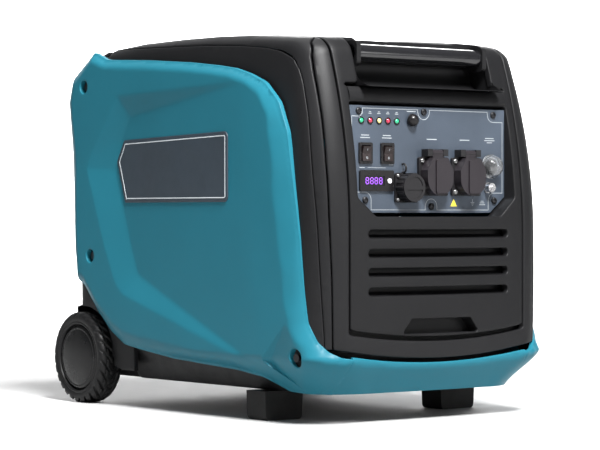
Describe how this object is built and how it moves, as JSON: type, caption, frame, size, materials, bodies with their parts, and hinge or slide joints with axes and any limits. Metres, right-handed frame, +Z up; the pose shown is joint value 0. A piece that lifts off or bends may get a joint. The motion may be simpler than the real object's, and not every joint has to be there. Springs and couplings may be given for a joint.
{
  "type": "inverter generator",
  "caption": "Closed-case inverter generator on two rear wheels, with teal side covers, a black front panel with sockets and air slots, and a pull handle.",
  "frame": {"origin": "middle of the footprint on the ground", "axes": "+Z up, the control panel faces -Y, the wheels are at +Y, +X is to the right of somebody facing the panel"},
  "size_m": [0.4084, 0.6151, 0.507],
  "materials": {
    "case_black": "fine textured moulding",
    "panel_black": "fine textured moulding",
    "pan_black": "black powder coat",
    "cover_teal": "satin moulding",
    "label_slate": "printed plate with a pale border",
    "plate_blue_grey": "brushed, printed",
    "foot_rubber": "matte",
    "tyre_rubber": "matte tread",
    "hub_plastic": "satin",
    "steel": "machined",
    "tube_gloss": "gloss black",
    "arm_black": "satin black",
    "tank_black": "blow moulded",
    "screw_black": "blackened",
    "lamp": "clear tinted lenses",
    "switch_black": "satin",
    "display_black": "smoked window",
    "button_white": "satin",
    "socket_black": "satin",
    "lid_plum": "satin",
    "clear_dome": "clear moulded cap",
    "alloy": "cast",
    "battery_black": "matte",
    "iron": "machined",
    "copper_winding": "wound copper on laminations",
    "exhaust_steel": "heat stained"
  },
  "bodies": {
    "case": {"base_pan": "pan_black", "front_feet": "foot_rubber", "engine_mounts": "foot_rubber", "axle": "steel", "shroud_left": "case_black", "shroud_right": "case_black", "top_cover": "case_black", "front_frame": "case_black", "front_panel": "panel_black", "rear_panel": "case_black", "side_cover_left": "cover_teal", "side_cover_right": "cover_teal", "front_bumper": "cover_teal", "cover_screws": "screw_black", "label_plate_left": "label_slate", "label_plate_right": "label_slate", "fuel_tank": "tank_black", "control_plate": "plate_blue_grey", "panel_screws": "screw_black", "led_lamps": "lamp", "rocker_bezels": "switch_black", "display_module": "display_black", "dc_socket": "socket_black", "mains_sockets": "socket_black", "breaker_body": "switch_black", "breaker_dome": "clear_dome", "ground_terminal": "steel", "inverter_unit": "alloy", "battery": "battery_black", "crankcase": "alloy", "barrel": "alloy", "valve_cover": "tank_black", "stator": "copper_winding", "recoil_housing": "pan_black", "carburettor": "alloy", "air_cleaner": "tank_black", "muffler": "exhaust_steel", "starter_motor": "pan_black"},
    "wheel_left": {"tyre_left": "tyre_rubber", "hub_left": "hub_plastic", "hubcap_left": "hub_plastic"},
    "wheel_right": {"tyre_right": "tyre_rubber", "hub_right": "hub_plastic", "hubcap_right": "hub_plastic"},
    "handle": {"handle_grip": "tube_gloss", "handle_arms": "arm_black"},
    "filler_cap": {"fuel_cap": "switch_black"},
    "reset": {"reset_button": "switch_black"},
    "run_switch": {"rocker_run": "switch_black"},
    "eco_switch": {"rocker_eco": "switch_black"},
    "display_key": {"display_button": "button_white"},
    "outlet_cap": {"dc_socket_cap": "socket_black"},
    "lid_a": {"lid_one": "lid_plum"},
    "lid_b": {"lid_two": "lid_plum"},
    "breaker_key": {"breaker_button": "button_white"},
    "pull_grip": {"recoil_grip": "foot_rubber"},
    "crank_set": {"crankshaft": "iron", "rotor": "iron", "cooling_fan": "tank_black"}
  },
  "joints": [
    {"name": "wheel_left_spin", "type": "hinge", "parent": "case", "child": "wheel_left", "pos_m": [-0.184, 0.241, 0.064], "axis": [1, 0, 0], "continuous": true},
    {"name": "wheel_right_spin", "type": "hinge", "parent": "case", "child": "wheel_right", "pos_m": [0.184, 0.241, 0.064], "axis": [1, 0, 0], "continuous": true},
    {"name": "handle_pull", "type": "slide", "parent": "case", "child": "handle", "axis": [0, -1, 0], "range_m": [0, 0.23]},
    {"name": "fuel_cap_turn", "type": "hinge", "parent": "case", "child": "filler_cap", "pos_m": [0, 0.06, 0.5], "axis": [0, 0, 1], "range_deg": [0, 90]},
    {"name": "reset_press", "type": "slide", "parent": "case", "child": "reset", "axis": [0, 1, 0], "range_m": [0, 0.002], "stiffness_N_per_m": 400, "springref_m": -0.002},
    {"name": "run_rock", "type": "hinge", "parent": "case", "child": "run_switch", "pos_m": [-0.107, -0.281, 0.3435], "axis": [-1, 0, 0], "range_deg": [0, 14]},
    {"name": "eco_rock", "type": "hinge", "parent": "case", "child": "eco_switch", "pos_m": [-0.071, -0.281, 0.3435], "axis": [-1, 0, 0], "range_deg": [0, 14]},
    {"name": "display_press", "type": "slide", "parent": "case", "child": "display_key", "axis": [0, 1, 0], "range_m": [0, 0.001], "stiffness_N_per_m": 300, "springref_m": -0.001},
    {"name": "outlet_cap_pull", "type": "slide", "parent": "case", "child": "outlet_cap", "axis": [0, -1, 0], "range_m": [0, 0.02]},
    {"name": "lid_one_lift", "type": "hinge", "parent": "case", "child": "lid_a", "pos_m": [0.005, -0.291, 0.3455], "axis": [-1, 0, 0], "range_deg": [0, 100], "stiffness_Nm_per_rad": 0.02, "springref_deg": -34.38},
    {"name": "lid_two_lift", "type": "hinge", "parent": "case", "child": "lid_b", "pos_m": [0.062, -0.291, 0.3455], "axis": [-1, 0, 0], "range_deg": [0, 100], "stiffness_Nm_per_rad": 0.02, "springref_deg": -34.38},
    {"name": "breaker_pop", "type": "slide", "parent": "case", "child": "breaker_key", "axis": [0, -1, 0], "range_m": [0, 0.003]},
    {"name": "starter_pull", "type": "slide", "parent": "case", "child": "pull_grip", "axis": [1, 0, 0], "range_m": [0, 0.6], "stiffness_N_per_m": 20, "springref_m": -0.3},
    {"name": "crank_spin", "type": "hinge", "parent": "case", "child": "crank_set", "pos_m": [0.02, 0.02, 0.19], "axis": [1, 0, 0], "continuous": true}
  ]
}
